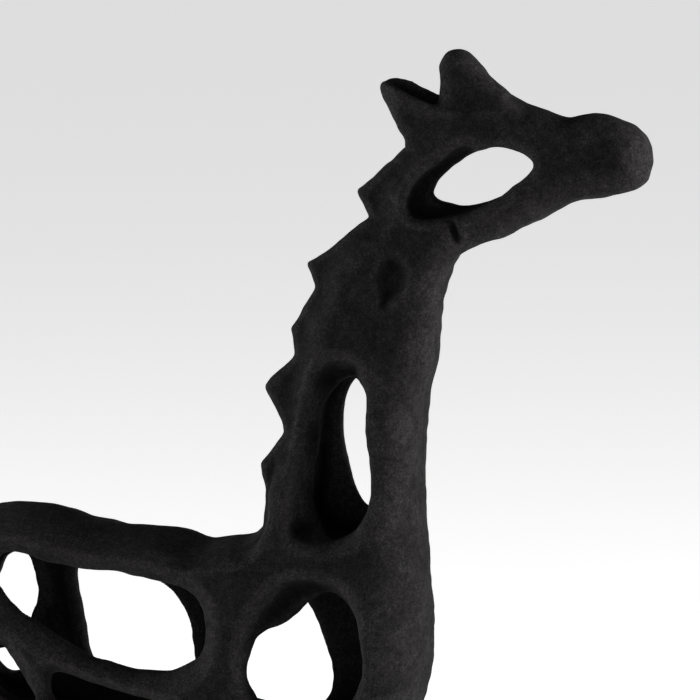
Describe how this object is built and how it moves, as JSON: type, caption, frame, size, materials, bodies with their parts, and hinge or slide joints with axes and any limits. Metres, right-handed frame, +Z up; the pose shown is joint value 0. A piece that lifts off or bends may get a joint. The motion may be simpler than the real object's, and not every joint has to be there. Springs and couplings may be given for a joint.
{
  "type": "carved giraffe statue",
  "caption": "Standing giraffe figure in matte black carved wood: hollow openwork body, pierced neck and head, toothed mane and slender doweled legs.",
  "frame": {"origin": "centre of the bounding box at the level of the feet's underside", "axes": "+X the way the giraffe faces, +Y its left side, +Z up"},
  "size_m": [0.38, 0.0652, 0.593],
  "materials": {
    "black_finish": "hand-carved wood under a dry, powdery matte black finish, faintly mottled",
    "bare_wood": "turned hardwood dowel, unfinished, with glue",
    "felt": "dark pressed felt"
  },
  "bodies": {
    "root": {"right_body_shell": "black_finish", "left_body_shell": "black_finish", "neck": "black_finish", "head": "black_finish", "mane": "black_finish", "right_ear": "black_finish", "left_ear": "black_finish", "right_horn": "black_finish", "left_horn": "black_finish", "tail": "black_finish", "front_right_leg": "black_finish", "front_left_leg": "black_finish", "rear_right_leg": "black_finish", "rear_left_leg": "black_finish", "shell_pegs": "bare_wood", "neck_dowels": "bare_wood", "head_dowels": "bare_wood", "ear_pegs": "bare_wood", "horn_pegs": "bare_wood", "mane_pegs": "bare_wood", "tail_peg": "bare_wood", "leg_dowels": "bare_wood", "foot_pads": "felt"}
  },
  "joints": []
}
